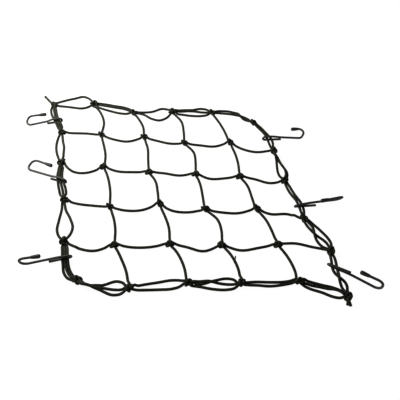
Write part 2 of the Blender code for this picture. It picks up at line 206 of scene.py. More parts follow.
# %% Smooth curves
def ease(share):
    """A soft step from 0 to 1, as the share goes from 0 to 1."""
    share = min(max(share, 0.0), 1.0)
    return share * share * (3 - 2 * share)


def between(a, b, c, d, t):
    """The curve from b to c, with a before them and d after them."""
    bend = (2 * a - 5 * b + 4 * c - d) * t * t + (3 * b - a - 3 * c + d) * t**3
    return b + (c - a) * t / 2 + bend / 2


def smooth_path(route, count, swing=1.0):
    """Points of one smooth curve through the route, evenly shared out."""
    lead = route[0] + (route[0] - route[1]) * swing
    follow = route[-1] + (route[-1] - route[-2]) * swing
    ends = [lead, *route, follow]
    spans = len(route) - 1
    found = []
    for i in range(count + 1):
        place = min(int(i / count * spans), spans - 1)
        found.append(between(*ends[place : place + 4], i / count * spans - place))
    return found


def toward(heading):
    """A direction along the ground, by its heading in degrees."""
    turn = math.radians(heading)
    return Vector((math.cos(turn), math.sin(turn), 0))


# %% Height of a cord
CORD_LAY = CORD_D / 2 + GROUND_AIR  # a cord's middle where it lies on the ground
CORD_AT_KNOT = 4.0  # a cord's middle where it enters a knot
CORD_FALL = 19.0  # distance from a knot's middle to where its cords lie down
EYE_FLAT = 4.0  # half the stretch of cord that lies level in an eye
EYE_EASE = 24.0  # from there to where the cord is down on the ground


def eye_distance(hook, point):
    """How far along the border a point is from the middle of a hook's eye."""
    axis = toward(hook.heading)
    offset = point - Vector((hook.x, hook.y, 0))
    if not -2 * EYE_RADIUS < offset.dot(axis) < hook.leg:
        return math.inf
    return abs(offset.x * axis.y - offset.y * axis.x)


def cord_height(point, start, end):
    """Height of a cord's middle at a point between two knots."""
    away = min((point - start).length, (point - end).length)
    height = CORD_LAY + (CORD_AT_KNOT - CORD_LAY) * (1 - ease(away / CORD_FALL))
    for hook in HOOKS:
        held = 1 - ease((eye_distance(hook, point) - EYE_FLAT) / EYE_EASE)
        height = max(height, CORD_LAY + (CORD_IN_EYE - CORD_LAY) * held)
    return height


def lay_down(path, start, end):
    """Give the points of a path between two knots their heights."""
    for point in path:
        point.z = cord_height(point, start, end)
    return path


# %% Spans of the inner cords
BEAD = 1.4  # spacing of the points that carry a cord while it is tied


def beads_in(start, end):
    return round((end - start).length / BEAD)


def inner_span(start, end, bow):
    """The cord between two inner knots."""
    along = (end - start).normalized()
    side = Vector((-along.y, along.x, 0))
    first, second = bow
    route = [start, start.lerp(end, 1 / 3) + side * first]
    route += [start.lerp(end, 2 / 3) + side * second, end]
    return lay_down(smooth_path(route, beads_in(start, end)), start, end)


print("first inner span", len(inner_span(knot(1, 0), knot(1, 1), ACROSS_BOW[1][0])), "points")

# %% [markdown]
# ## Cords that cross in the border
#
# Two border cords that part and meet again cross each other, so one has to climb over the
# other in a long low hump. Cloth simulation could find such humps, but slowly and not quite
# where they are wanted. Here the later cord of a span is lifted by one cord's thickness at
# the crossing, and the hump runs out to both sides at a gentle slope.

# %% Humps
CROSS_SLOPE = 0.3  # how steeply a cord climbs over another
CROSS_REACH = CORD_D / 1.3  # a cord farther to the side than this is not climbed over


def climb_over(path, laid):
    """Lift a cord's points where it crosses cords that were laid before it."""
    flat = np.array([point.to_2d() for point in path])
    low = np.array([point.z for point in path])
    for other in laid:
        line = np.array(other)
        a, step = line[:-1], np.diff(line, axis=0)
        size = (step[:, :2] ** 2).sum(1)
        share = ((flat[:, None] - a[None, :, :2]) * step[None, :, :2]).sum(2) / size
        share = share.clip(0, 1)
        foot = a[None] + step[None] * share[..., None]
        beside = np.linalg.norm(flat[:, None] - foot[..., :2], axis=2)
        near = (beside / CROSS_REACH).clip(0, 1)
        lift = CORD_D * (1 - near * near * (3 - 2 * near))
        low = np.maximum(low, np.where(lift > 0, foot[..., 2] + lift, 0).max(1))
    gaps = np.linalg.norm(flat[:, None] - flat[None], axis=2)
    for point, height in zip(path, (low[None] - CROSS_SLOPE * gaps).max(1)):
        point.z = height


# %% Spans of the border
SEAT_STEP = 3.0  # between the border's cords inside a knot
SHOULDER = 3.0  # how steeply the border's cords turn in to their knots, 1 for evenly
SIDE_KNOTS = {
    "far": lambda span: ((0, span), (0, span + 1)),
    "near": lambda span: ((CELLS, span), (CELLS, span + 1)),
    "left": lambda span: ((span, 0), (span + 1, 0)),
    "right": lambda span: ((span, CELLS), (span + 1, CELLS)),
}


def seats(offsets):
    """Places of a span's cords side by side in a knot, in the order they lie."""
    order = sorted(range(len(offsets)), key=lambda i: offsets[i])
    middle = (len(offsets) - 1) / 2
    return [(order.index(i) - middle) * SEAT_STEP for i in range(len(offsets))]


def border_span(side, span):
    """The cords of one span of the border, outermost first."""
    start, end = [knot(*place) for place in SIDE_KNOTS[side](span)]
    along = (end - start) / 4
    out = Vector((-along.y, along.x, 0)).normalized() * (1 if side in ("far", "right") else -1)
    strands = [Strand(*row) for row in BORDER[side, span]]
    first = seats([row.quarter for row in strands])
    last = seats([row.three_quarters for row in strands])
    laid = []
    for row, leave, arrive in zip(strands, first, last):
        offsets = (leave, row.quarter, row.half, row.three_quarters, arrive)
        route = [Vector((i, off, 0)) for i, off in enumerate(offsets)]
        flat = smooth_path(route, beads_in(start, end), Vector((1, SHOULDER, 0)))
        path = [start + along * point.x + out * point.y for point in flat]
        climb_over(lay_down(path, start, end), laid)
        laid.append(path)
    ranked = sorted(zip(strands, laid), key=lambda pair: -pair[0].half)
    return [path for _, path in ranked]


# %% Paths of the loose ends
TAIL_STATIONS = (0.1, 0.4, 0.7, 1.0)


def end_path(tail):
    """A loose end, from its knot outwards."""
    start = knot(tail.row, tail.column)
    way = toward(tail.heading)
    route = [start + way * tail.length * s for s in TAIL_STATIONS]
    return lay_down(smooth_path(route, 2 * round(tail.length / BEAD / 2)), start, start)


print("first loose end", len(end_path(FIRST_END)), "points")

# %% [markdown]
# ## One long cord
#
# Each span could be a piece of its own that ends inside the knots, but a pulled knot needs a
# cord that runs through it. So the spans are strung together in the order in which the net
# is tied. `Run` is one span with the knots at its two ends. Two border cords are closed
# rings. The third cord starts at the far left corner with a loose end, goes down the border,
# across the first row, along the border again, and so on: first all rows, then all columns.

# %% Runs of cord
Run = namedtuple("Run", "path start end inner")


def backwards(runs):
    """The same runs, led the other way."""
    return [Run(run.path[::-1], run.end, run.start, run.inner) for run in reversed(runs)]


def inner_runs(places, bows, inner):
    """The runs from knot to knot of a row or a column."""
    spans = zip(places, places[1:], bows)
    return [Run(inner_span(knot(*a), knot(*b), bow), a, b, inner) for a, b, bow in spans]


def row_run(row):
    return inner_runs([(row, i) for i in range(CELLS + 1)], ACROSS_BOW[row], "row")


def column_run(column):
    return inner_runs([(i, column) for i in range(CELLS + 1)], DOWN_BOW[column], "column")


# %% The border's rings
border = {
    (side, span): [Run(path, *SIDE_KNOTS[side](span), "") for path in border_span(side, span)]
    for side in SIDE_KNOTS
    for span in range(CELLS)
}


def ring(lane):
    """One border cord all the way round. Lane 0 is the outermost."""
    ahead = [border[side, span][lane] for side in ("far", "right") for span in range(CELLS)]
    back = [border[side, span][lane] for side in ("left", "near") for span in range(CELLS)]
    return ahead + backwards(back)


ring_outer = ring(0)
ring_inner = ring(1)
print("spans in a ring:", len(ring_outer), len(ring_inner))


# %% The long cord
def long_cord():
    """The runs of the cord that is led over the rows and then over the columns."""
    first = end_path(FIRST_END)
    runs = [Run(first[::-1], None, (0, 0), ""), border["left", 0][2]]
    for row in range(1, CELLS):
        if row % 2:
            runs += [*row_run(row), border["right", row][2]]
        else:
            runs += [*backwards(row_run(row)), border["left", row][2]]
    runs.append(border["near", 0][2])
    for column in range(1, CELLS):
        if column % 2:
            runs += [*backwards(column_run(column)), border["far", column][2]]
        else:
            runs += [*column_run(column), border["near", column][2]]
    runs.append(Run(end_path(LAST_END), (CELLS, CELLS), None, ""))
    return runs


serpentine = long_cord()
for before, after in zip(serpentine, serpentine[1:]):
    assert before.end == after.start, (before.end, after.start)
print("spans in the long cord:", len(serpentine))

# %% [markdown]
# ## The knots
#
# At each crossing the long cord makes an overhand knot round whatever else passes there:
# the column's cord in the middle of the net, and the two border rings at its edge. A knot
# could be sculpted as a lump with grooves, but its turns would not join the cords outside.
# An overhand knot is a trefoil that is cut open at one lobe, so its loose form is a formula.
# The two open ends leave on one side, and the other cords go straight through its middle.

# %% Loose knots
LOOSE = 2.5  # size of the loose trefoil
LOOSE_RISE = 4.2  # height of its turns
HALFWAY = 2 * math.pi  # where its turn arches over the cords that pass through, in radians
ARCH_RISE = 0.8  # height of that arch, as a share of LOOSE_RISE
ARCH_WIDE = 0.5  # and over what stretch, in radians
KNOT_MIDDLE = 4.4  # height of the cords that pass through
OPENING = 0.42  # half of the cut in the open lobe, in radians
OPPOSITE = -0.7  # two headings with a smaller dot product than this go on across the knot
WRAP_BEADS = 46


def heading(point, centre):
    way = point - centre
    way.z = 0
    return way.normalized()


def overhand(centre, entry, leave):
    """A loose overhand knot from the entry's side to the other."""
    arriving, leaving = heading(entry, centre), heading(leave, centre)
    if arriving.dot(leaving) < OPPOSITE:
        right = (leaving - arriving).normalized()
        ahead = Vector((-right.y, right.x, 0))
    else:
        ahead = -arriving
        right = Vector((ahead.y, -ahead.x, 0))
        if right.dot(leaving) < 0:
            right = -right
    points = []
    for i in range(WRAP_BEADS + 1):
        t = 3 * math.pi - OPENING - 2 * (math.pi - OPENING) * i / WRAP_BEADS
        x = math.sin(t) + 2 * math.sin(2 * t)
        y = math.cos(t) - 2 * math.cos(2 * t)
        arch = ARCH_RISE * math.exp(-(((t - HALFWAY) / ARCH_WIDE) ** 2))
        rise = KNOT_MIDDLE + LOOSE_RISE * (arch - math.sin(3 * t))
        points.append(centre + right * x * LOOSE + ahead * y * LOOSE + Vector((0, 0, rise)))
    return points


# %% Cords through a knot
THROUGH_BEADS = 12
THROUGH_SHARE = 0.55  # of the way to the middle, where the route has one more point


def straight_through(centre, entry, leave):
    """A cord that another one is knotted round."""
    middle = Vector((centre.x, centre.y, KNOT_MIDDLE))
    near = [end.lerp(middle, THROUGH_SHARE) for end in (entry, leave)]
    flat = [entry, near[0], middle, near[1], leave]
    path = smooth_path(flat, THROUGH_BEADS)
    for i, point in enumerate(path):
        bump = math.sin(math.pi * i / THROUGH_BEADS)
        point.z += bump * (KNOT_MIDDLE - point.z)
    return path[1:-1]


print("points of a cord in its knot:", WRAP_BEADS + 1, "and through one:", THROUGH_BEADS - 1)

# %% [markdown]
# ## Beads along the cords
#
# A knot is pulled tight by its own cord. Blender's cloth could do that with a thin strip,
# but it has no thickness round a cord. So each cord is treated as a string of beads. `grip`
# says how hard a bead is pulled into line with its neighbours, which is the tension in the
# cord: high in a knot and little in a free span. `hold` says how firmly a bead keeps to its
# place in the lay.

# %% Beads
KNOT_CUT = 9.5  # a span's cord is cut this far from the knot's middle
GRIP_KNOT = 0.4
GRIP_THROUGH = 0.12
GRIP_SPAN = 0.04
HOLD_SPAN = 0.25
HOLD_THROUGH = 0.02
EASE_OUT = 9.0  # beyond the cut, a span's cord comes back to its own thickness here
Cord = namedtuple("Cord", "name points radii grip hold closed")


def string_cord(name, runs, closed, wraps_here):
    points, radii, grip, hold = [], [], [], []

    def add(found, radius, pull, keep):
        points.extend(found)
        for column, value in ((radii, radius), (grip, pull), (hold, keep)):
            column.extend(value if isinstance(value, list) else [value] * len(found))

    def trimmed(run):
        ends = [knot(*place) for place in (run.start, run.end) if place]
        kept_from = 0 if len(runs) == 1 else KNOT_CUT
        found = []
        for point in run.path:
            away = min(math.hypot(point.x - e.x, point.y - e.y) for e in ends)
            if away > kept_from:
                found.append((point, ease((away - KNOT_CUT) / EASE_OUT)))
        return found

    cut = [trimmed(run) for run in runs]
    for i, run in enumerate(runs):
        found = cut[i]
        slack = [share for _, share in found]
        add(
            [point for point, _ in found],
            [(SQUEEZED_D + (CORD_D - SQUEEZED_D) * share) / 2 for share in slack],
            [GRIP_THROUGH + (GRIP_SPAN - GRIP_THROUGH) * share for share in slack],
            [HOLD_SPAN * share for share in slack],
        )
        if i + 1 == len(runs) and not closed:
            continue
        after = runs[(i + 1) % len(runs)]
        entry, leave = found[-1][0], cut[(i + 1) % len(runs)][0][0]
        centre = knot(*run.end)
        if wraps_here(run, after):
            add(overhand(centre, entry, leave), SQUEEZED_D / 2, GRIP_KNOT, 0.0)
        else:
            path = straight_through(centre, entry, leave)
            add(path, SQUEEZED_D / 2, GRIP_THROUGH, HOLD_THROUGH)
    return Cord(name, points, radii, grip, hold, closed)


# %% String the four cords
BARE_CORNER = (0, CELLS)  # only the rings pass here, so one is tied round the other
cords = [
    string_cord("ring_outer", ring_outer, True, lambda run, after: run.end == BARE_CORNER),
    string_cord("ring_inner", ring_inner, True, lambda run, after: False),
    string_cord(
        "long_cord",
        serpentine,
        False,
        lambda run, after: not (run.inner == after.inner == "column"),
    ),
]
spare = Run(end_path(SPARE_END), (CELLS, CELLS), None, "")
cords.append(string_cord("spare_end", [spare], False, None))
print("beads:", [len(cord.points) for cord in cords])

# %% [markdown]
# ## Paths of the wires
#
# A hook's wire is bent over pins, so it has straights and arcs of one radius, and only its
# eye eases from the cords it holds to where it is shut. A curve object with a bevel could
# follow such a path. It is worked out as points here, because the cords rest on the eyes.


# %% Arcs and corners
def arc(centre, start, across, sweep, steps):
    """Points round a centre: start and across are the arc's two half-axes."""
    turns = [sweep * i / steps for i in range(steps + 1)]
    return [centre + start * math.cos(a) + across * math.sin(a) for a in turns]


def rounded(before, corner, after, radius, steps=14):
    """A corner of a bent wire, as an arc that meets both straights."""
    back = (before - corner).normalized()
    ahead = (after - corner).normalized()
    half = back.angle(ahead) / 2
    centre = corner + (back + ahead).normalized() * radius / math.sin(half)
    start = corner + back * radius / math.tan(half) - centre
    across = (corner - centre) - start * ((corner - centre).dot(start) / start.length_squared)
    return arc(centre, start, across.normalized() * radius, math.pi - 2 * half, steps)


# %% Wire paths of the hooks
EYE_HOLD = 16.5  # the stretch of an eye that has cords in it
EYE_SHUT = WIRE_D + 0.9  # shank to short leg at the leg's end, middle to middle
BEND_WIDE = 21.5  # shank to return leg, middle to middle
BEND_RADIUS = 8.5
TIP_LENGTH = 13.0
TIP_D = 6.0
UP = Vector((0, 0, 1))


def hook_points(hook):
    """The corners of one hook: eye's end, shank, two corners of the bend, tip's end."""
    out = toward(hook.heading)
    side = Vector((-out.y, out.x, 0))
    if side.y < 0:
        side = -side
    roll = math.radians(hook.roll)
    across = side * math.cos(roll) + UP * math.sin(roll)
    nub = Vector((hook.x, hook.y, 0))
    near = nub + out * hook.shank + UP * WIRE_LOW
    far = near + out * hook.slant + across * BEND_WIDE
    far.z = max(far.z, TIP_D / 2 + GROUND_AIR)
    return nub, out, side, near, far, far - out * hook.reach


def hook_path(hook):
    """The middle of the wire, from the eye's short leg to the free end."""
    nub, out, side, near, far, end = hook_points(hook)
    centre = nub + out * EYE_RADIUS + UP * CORD_IN_EYE
    leg_side = (UP * EYE_RADIUS - side * hook.lean) * (1 if hook.over else -1)
    leg = nub + out * hook.leg + UP * (centre.z + leg_side.z) + side * hook.splay
    path = [leg, *arc(centre, leg_side, -out * EYE_RADIUS, math.pi, steps=20)]
    held = path[-1] + out * (EYE_HOLD - EYE_RADIUS)
    shut = nub + out * hook.leg + UP * (leg.z - math.copysign(EYE_SHUT, leg_side.z))
    bend = rounded(shut, near, far, BEND_RADIUS)
    path += smooth_path([path[-1], held, shut, bend[0]], count=30)[1:-1]
    path += bend
    path += rounded(near, far, end, BEND_RADIUS)
    path.append(end + (far - end).normalized() * TIP_LENGTH / 2)
    return path


# %% Beads of the wires
def along_path(points):
    """How far along the path each of its points is."""
    steps = np.linalg.norm(np.diff(points, axis=0), axis=1)
    return np.concatenate([[0], steps.cumsum()])


def spaced(path, step):
    """The same path with points an even step apart."""
    line = np.array([tuple(point) for point in path])
    run = along_path(line)
    stops = np.linspace(0, run[-1], max(2, round(run[-1] / step)) + 1)
    return np.stack([np.interp(stops, run, line[:, k]) for k in range(3)], axis=1)


WIRE_BEAD = 1.0
wire_beads = np.concatenate([spaced(hook_path(hook), WIRE_BEAD) for hook in HOOKS])
print("beads of the wires:", len(wire_beads))

# %% [markdown]
# ## Pull tight
#
# The loop below is a small physics step, written with numpy. Each round pulls the knot
# beads together, lets every bead sink towards the ground, and pushes beads of different
# cords apart to the thickness of the cord. The hooks' wires are strings of fixed beads, so
# cords rest on them too. After some hundred rounds the loose trefoils are real tight knots.
# The arrays hold all beads one after another, the cords' first and the wires' last.

# %% Beads in arrays
def all_beads(of_cord, of_wires):
    """One value of each bead, in the order of the arrays."""
    return np.concatenate([np.array(of_cord(cord)) for cord in cords] + [of_wires])


no_pull = np.zeros(len(wire_beads))
place = all_beads(lambda cord: [tuple(p) for p in cord.points], wire_beads)
radius = all_beads(lambda cord: cord.radii, np.full(len(wire_beads), WIRE_D / 2))
grip = all_beads(lambda cord: cord.grip, no_pull)[:, None]
hold = all_beads(lambda cord: cord.hold, no_pull)[:, None]
count = len(place) - len(wire_beads)
home = place.copy()

owner = np.full(len(place), -1)
before = np.arange(len(place))
after = np.arange(len(place))
first = 0
for number, cord in enumerate(cords):
    last = first + len(cord.points) - 1
    owner[first : last + 1] = number
    before[first + 1 : last + 1] = np.arange(first, last)
    after[first:last] = np.arange(first + 1, last + 1)
    if cord.closed:
        before[first], after[last] = last, first
    else:
        grip[[first, last]] = 0
    first = last + 1
print("beads in all:", len(place))

# %% Beads that touch
YIELD = 0.92  # two elastic cords flatten a little where they touch
SKIP_ALONG = 6.5  # beads of one cord nearer than this along it don't push each other
SEARCH = CORD_D + 1.6  # beads farther apart than this can't come to touch soon


def touching_pairs(place):
    """Pairs of beads that may touch, and the distance at which they do."""
    tree = KDTree(len(place))
    for i, point in enumerate(place):
        tree.insert(point, i)
    tree.balance()
    one, two = [], []
    for i in range(count):
        for _, j, _ in tree.find_range(place[i], SEARCH):
            if j > i and not (owner[i] == owner[j] and j - i < SKIP_ALONG / BEAD):
                one.append(i)
                two.append(j)
    one, two = np.array(one), np.array(two)
    give = np.where((one < count) & (two < count), YIELD, 1.0)
    return one, two, (radius[one] + radius[two]) * give


# %% Part what overlaps
PUSH = 0.7  # share of an overlap that one push takes away


def push_apart(place, pairs, movable, cling):
    """Part the beads that overlap, and close small gaps between cords side by side."""
    one, two, reach = pairs
    apart = place[two] - place[one]
    size = np.linalg.norm(apart, axis=1) + 1e-9
    hit = size < reach + cling
    one, two = one[hit], two[hit]
    push = apart[hit] * ((reach[hit] - size[hit]) / size[hit])[:, None]
    share = np.stack([movable[one], movable[two]])
    share = share / share.sum(0)
    move = np.zeros_like(place)
    for k in range(3):
        move[:, k] -= np.bincount(one, push[:, k] * share[0], len(place))
        move[:, k] += np.bincount(two, push[:, k] * share[1], len(place))
    touches = np.bincount(one, minlength=len(place)) + np.bincount(two, minlength=len(place))
    place += move / np.maximum(touches, 1)[:, None] ** 0.5 * PUSH


# %% Tighten
ROUNDS = 320
REST_ROUNDS = 40  # at the end the pull lets go, so that the last overlaps part
REST_GRIP = 0.1  # share of the pull that is left then
NEIGHBOURS_EVERY = 10  # rounds after which the touching beads are looked up again
PUSHES = 3  # in each round
SETTLE = 0.02  # how far a bead sinks in a round
CLING = 0.8  # cords with a smaller gap than this lie against each other
FIXED = 1e-6  # how far a wire's bead gives way, beside 1 for a cord's

movable = np.where(owner >= 0, 1.0, FIXED)
for step in range(ROUNDS + REST_ROUNDS):
    pulling = step < ROUNDS
    if step % NEIGHBOURS_EVERY == 0:
        pairs = touching_pairs(place)
    pull = grip if pulling else grip * REST_GRIP
    place += pull * ((place[before] + place[after]) / 2 - place)
    place += hold * (home - place)
    place[:count, 2] -= SETTLE
    for _ in range(PUSHES):
        push_apart(place, pairs, movable, CLING if pulling else 0.0)
    place[:count, 2] = np.maximum(place[:count, 2], radius[:count] + GROUND_AIR)
    place[count:] = wire_beads

one, two, reach = touching_pairs(place)
deep = (reach - np.linalg.norm(place[two] - place[one], axis=1)).max()
print("deepest overlap left, mm:", round(float(deep), 2))

# %% [markdown]
# ## Round cord from the beads
#
# The tightened beads are a path, and the cord's cover is wrapped round it. A curve with a
# round bevel would make the tube in one line, but gives no hold on the UV map that the
# braid needs. So a flat grid is the start: its columns go round the cord and its rows go
# along it, and the grid's own UV coordinates are the braid's coordinates. Each row is turned
# to a circle at its station, and the two long edges are merged.
#
# The circles must not twist against each other, so each one's direction is carried over
# from the one before it. On a ring of cord the small twist that is left at the end is
# shared out along the way.

# %% Smooth stations
END_STOPS = (0.0, 0.08, 0.25, 0.5, 0.85)  # closer stations where an end is rounded


def softened(values, closed, passes=2):
    for _ in range(passes):
        if closed:
            values = values / 2 + (np.roll(values, 1, 0) + np.roll(values, -1, 0)) / 4
        else:
            inner = values[1:-1] / 2 + (values[:-2] + values[2:]) / 4
            values = np.concatenate([values[:1], inner, values[-1:]])
    return values


def stations_along(points, radii, closed, step):
    """Evenly spaced points of a smooth curve through the beads, with their radii."""
    points, radii = softened(points, closed), softened(radii, closed, 4)
    if closed:
        points = np.concatenate([points, points[:1]])
        radii = np.concatenate([radii, radii[:1]])
        lead, follow = points[-2], points[1]
    else:
        lead, follow = 2 * points[0] - points[1], 2 * points[-1] - points[-2]
    padded = np.concatenate([[lead], points, [follow]])
    run = along_path(points)
    stops = np.linspace(0, run[-1], round(run[-1] / step) + 1)
    if not closed:
        close = np.array(END_STOPS)
        stops = np.concatenate([close, stops[1:-1], run[-1] - close[::-1]])
    i = np.searchsorted(run, stops, "right").clip(1, len(run) - 1) - 1
    t = ((stops - run[i]) / (run[i + 1] - run[i]))[:, None]
    line = between(*(padded[i + k] for k in range(4)), t)
    return line, np.interp(stops, run, radii), stops


# %% Directions round the path
def sides_along(line, closed):
    """Two directions across the path at each station, with no twist between stations."""
    way = np.gradient(line, axis=0)
    if closed:
        way[0] = way[-1] = line[1] - line[-2]
    way /= np.linalg.norm(way, axis=1)[:, None]
    side = np.cross(way[0], (0.0, 0.0, 1.0))
    found = []
    for forward in way:
        side = side - forward * side.dot(forward)
        side = side / np.linalg.norm(side)
        found.append(side)
    side = np.array(found)
    other = np.cross(way, side)
    if closed:
        twist = math.atan2(side[-1].dot(other[0]), side[-1].dot(side[0]))
        turn = np.linspace(0, -twist, len(line))[:, None]
        ahead, back = np.cos(turn), np.sin(turn)
        side, other = side * ahead + other * back, other * ahead - side * back
    return side, other


# %% A finished piece
def in_scene(name, data):
    """A new object in the scene."""
    thing = bpy.data.objects.new(name, data)
    bpy.context.scene.collection.objects.link(thing)
    return thing


def mesh_of(name, bm):
    mesh = bpy.data.meshes.new(name)
    bm.to_mesh(mesh)
    bm.free()
    return mesh


def finished(name, bm, slot_name, *nodes):
    """Turn a bmesh in millimetres into a piece of the scene in metres."""
    to_frame = Matrix.Scale(MM, 4) @ Matrix.Translation(-BOX_MIDDLE)
    bmesh.ops.transform(bm, matrix=to_frame, verts=bm.verts)
    mesh = mesh_of(name, bm)
    mesh.shade_smooth()
    piece = in_scene(name, mesh)
    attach(piece, "root")
    if nodes:
        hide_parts(*nodes)
    print(name, len(mesh.polygons), "faces")
    return piece


# %% Wrap a path
BRAID_LAY = 3.4  # along the cord, from one thread of a family to the next
END_INSET = 0.6  # how much of an open end is rounded off


def rounded_ends(thick, stops, rounding, flare=0.0):
    """Round off both ends of an open tube. A sealed end also flares a little."""
    to_end = np.minimum(stops, stops[-1] - stops)
    inset = np.clip(1 - to_end / rounding, 0, 1)
    swell = 1 + flare * np.exp(-((to_end / (2 * rounding)) ** 2))
    return thick * swell * np.sqrt(1 - END_INSET * inset**2)


def wrap_round(line, radii, stops, closed, sides):
    """A grid wrapped round a path. Its UV is (share round the cord, lays along it)."""
    side, other = sides_along(line, closed)
    lays = stops / BRAID_LAY
    if closed:
        lays *= round(lays[-1]) / lays[-1]
    bm = bmesh.new()
    uv = bm.loops.layers.uv.new("braid")
    rows = len(line) - 1
    bmesh.ops.create_grid(bm, x_segments=sides, y_segments=rows, size=0.5, calc_uvs=True)
    for face in bm.faces:
        for loop in face.loops:
            loop[uv].uv.y = lays[round(loop[uv].uv.y * rows)]
    for vert in bm.verts:
        turn = 2 * math.pi * (vert.co.x + 0.5)
        row = round((vert.co.y + 0.5) * rows)
        out = side[row] * math.cos(turn) + other[row] * math.sin(turn)
        vert.co = line[row] + out * radii[row]
    bmesh.ops.remove_doubles(bm, verts=bm.verts, dist=0.01)
    if not closed:
        bmesh.ops.holes_fill(bm, edges=bm.edges, sides=sides)
    bmesh.ops.recalc_face_normals(bm, faces=bm.faces)
    return bm


# %% Wrap the four cords
CORD_SIDES = 16
STATION = 1.25  # between two circles of a cord
cord_pieces = []
first = 0
for cord in cords:
    part = slice(first, first + len(cord.points))
    first = part.stop
    line, thick, stops = stations_along(place[part], radius[part], cord.closed, STATION)
    if not cord.closed:
        thick = rounded_ends(thick, stops, rounding=0.7, flare=0.2)
    bm = wrap_round(line, thick, stops, cord.closed, CORD_SIDES)
    cord_pieces.append(finished(f"cord_{cord.name}", bm, "cord", "net"))
    print(cord.name, "length", round(stops[-1] * MM, 3), "m")

# %% [markdown]
# ## A pulled yarn
#
# One yarn has been pulled out of the cover near the near border and stands up as a short
# stub. A hair curve would be quick, but renders apart from the meshes. So it is the same
# wrapped tube as the cords, only thinner, and it starts inside the cord so that no gap shows.

# %% Rods
def rod(name, beads, width, sides, station, slot_name, *nodes):
    """A piece of one width along its beads, with rounded ends."""
    radii = np.full(len(beads), width / 2)
    line, thick, stops = stations_along(beads, radii, False, station)
    thick = rounded_ends(thick, stops, rounding=0.5)
    return finished(name, wrap_round(line, thick, stops, False, sides), slot_name, *nodes)


# %% Add the pulled yarn
YARN_ROUTE = ((92.6, -134.5, 2.2), (92.9, -132.0, 3.4), (93.8, -128.8, 4.7), (94.4, -124.2, 5.6))
YARN_D = 1.7
YARN_BEADS = 12
YARN_SIDES = 10
YARN_STATION = 0.6

route = smooth_path([Vector(stop) for stop in YARN_ROUTE], YARN_BEADS)
beads = np.array([tuple(point) for point in route])
cord_pieces.append(rod("pulled_yarn", beads, YARN_D, YARN_SIDES, YARN_STATION, "cord"))

# %% [markdown]
# ## Hooks
#
# Each hook is one bent wire in a smooth coating. The construction model's wire could keep its
# shape and be subdivided, but its bends have corners. Its path is known from the lay, so a
# circle is carried along it as with the cord, only with closer stations.

# %% Bend the hooks
WIRE_SIDES = 16
WIRE_STATION = 0.8


def hook_piece(number, hook):
    beads = spaced(hook_path(hook), WIRE_STATION)
    wire = (WIRE_D, WIRE_SIDES, WIRE_STATION)
    return rod(f"wire_hook_{number}", beads, *wire, "hook_wire", f"hook_{number}")


hook_pieces = [hook_piece(number, hook) for number, hook in enumerate(HOOKS, start=1)]

# %% [markdown]
# ## Moulded tips
#
# A tip is moulded on the wire's end so that it doesn't scratch. It could be modelled from a
# cylinder with edge loops, but it is a turned form, so its half outline is spun round the
# wire. The outline has a rim at the mouth, a slim body that swells to the far end, and a
# round nose. Rim and body are widths, as shares of the whole one, at distances from the mouth.

# %% Outline of a tip
NOSE = 2.3  # length of the round nose
NOSE_STEPS = 8
NOSE_BLUNT = 0.8  # 1 for a round nose, less for a blunter one
MOUTH_AIR = 0.05  # round the wire
MOUTH_EDGE = 0.15  # rounding of the mouth's inner edge
Width = namedtuple("Width", "share along")
RIM = (Width(0.72, 0.0), Width(0.78, 0.15), Width(0.78, 0.9))
BODY = (Width(0.84, 2.5), Width(0.94, 5.5), Width(1, 8.5), Width(1, TIP_LENGTH - NOSE))


def tip_outline():
    """Points of (radius, distance from the mouth), from inside the mouth to the nose."""
    full = TIP_D / 2
    bore = WIRE_D / 2 + MOUTH_AIR
    outline = [(bore, 1.0), (bore, MOUTH_EDGE), (bore + MOUTH_EDGE, 0.0)]
    outline += [(full * width.share, width.along) for width in RIM + BODY]
    for i in range(1, NOSE_STEPS + 1):
        turn = math.pi / 2 * i / NOSE_STEPS
        swell = full * math.cos(turn) ** NOSE_BLUNT
        outline.append((swell, TIP_LENGTH - NOSE + NOSE * math.sin(turn)))
    return outline


# %% Turn the tips
TIP_SIDES = 32


def tip_piece(number, hook):
    *_, far, end = hook_points(hook)
    bm = bmesh.new()
    verts = [bm.verts.new((radius, 0, along)) for radius, along in tip_outline()]
    edges = [bm.edges.new(pair) for pair in zip(verts, verts[1:])]
    turn = {"axis": (0, 0, 1), "angle": 2 * math.pi, "steps": TIP_SIDES, "use_merge": True}
    bmesh.ops.spin(bm, geom=verts + edges, cent=(0, 0, 0), **turn)
    bmesh.ops.remove_doubles(bm, verts=bm.verts, dist=0.002)
    bmesh.ops.holes_fill(bm, edges=bm.edges, sides=TIP_SIDES)
    bmesh.ops.recalc_face_normals(bm, faces=bm.faces)
    way = (end - far).normalized()
    turned = way.to_track_quat("Z", "Y").to_matrix().to_4x4()
    seat = Matrix.Translation(end - way * TIP_LENGTH) @ turned
    bmesh.ops.transform(bm, matrix=seat, verts=bm.verts)
    return finished(f"moulded_tip_{number}", bm, "hook_tip", f"tip_{number}")


tip_pieces = [tip_piece(number, hook) for number, hook in enumerate(HOOKS, start=1)]

# %% [markdown]
# ## The braided cover
#
# The cover is plaited from many fine threads in two families that wind round the cord in
# opposite directions. In the braid's coordinates both families are straight diagonals, so
# two sums of the coordinates count the threads. Where the two counts add up to an even
# number, the first family lies on top, and elsewhere the second.
#
# The threads could be real geometry, but at a fifth of a millimetre that would be millions of
# faces, and bump shows as much. The pattern is a node group, so that any material can use it.
# It gives a height for the bump, and a mask for single threads that are a little lighter.


# %% Node helpers
def feed(socket, source):
    """Give a socket a value, or link it to another node's output."""
    if isinstance(source, bpy.types.NodeSocket):
        socket.id_data.links.new(source, socket)
    else:
        socket.default_value = source


def tune(node, **sources):
    """Feed sockets of a node. The spaces in a socket's name are written as _."""
    for label, source in sources.items():
        feed(node.inputs[label.replace("_", " ")], source)


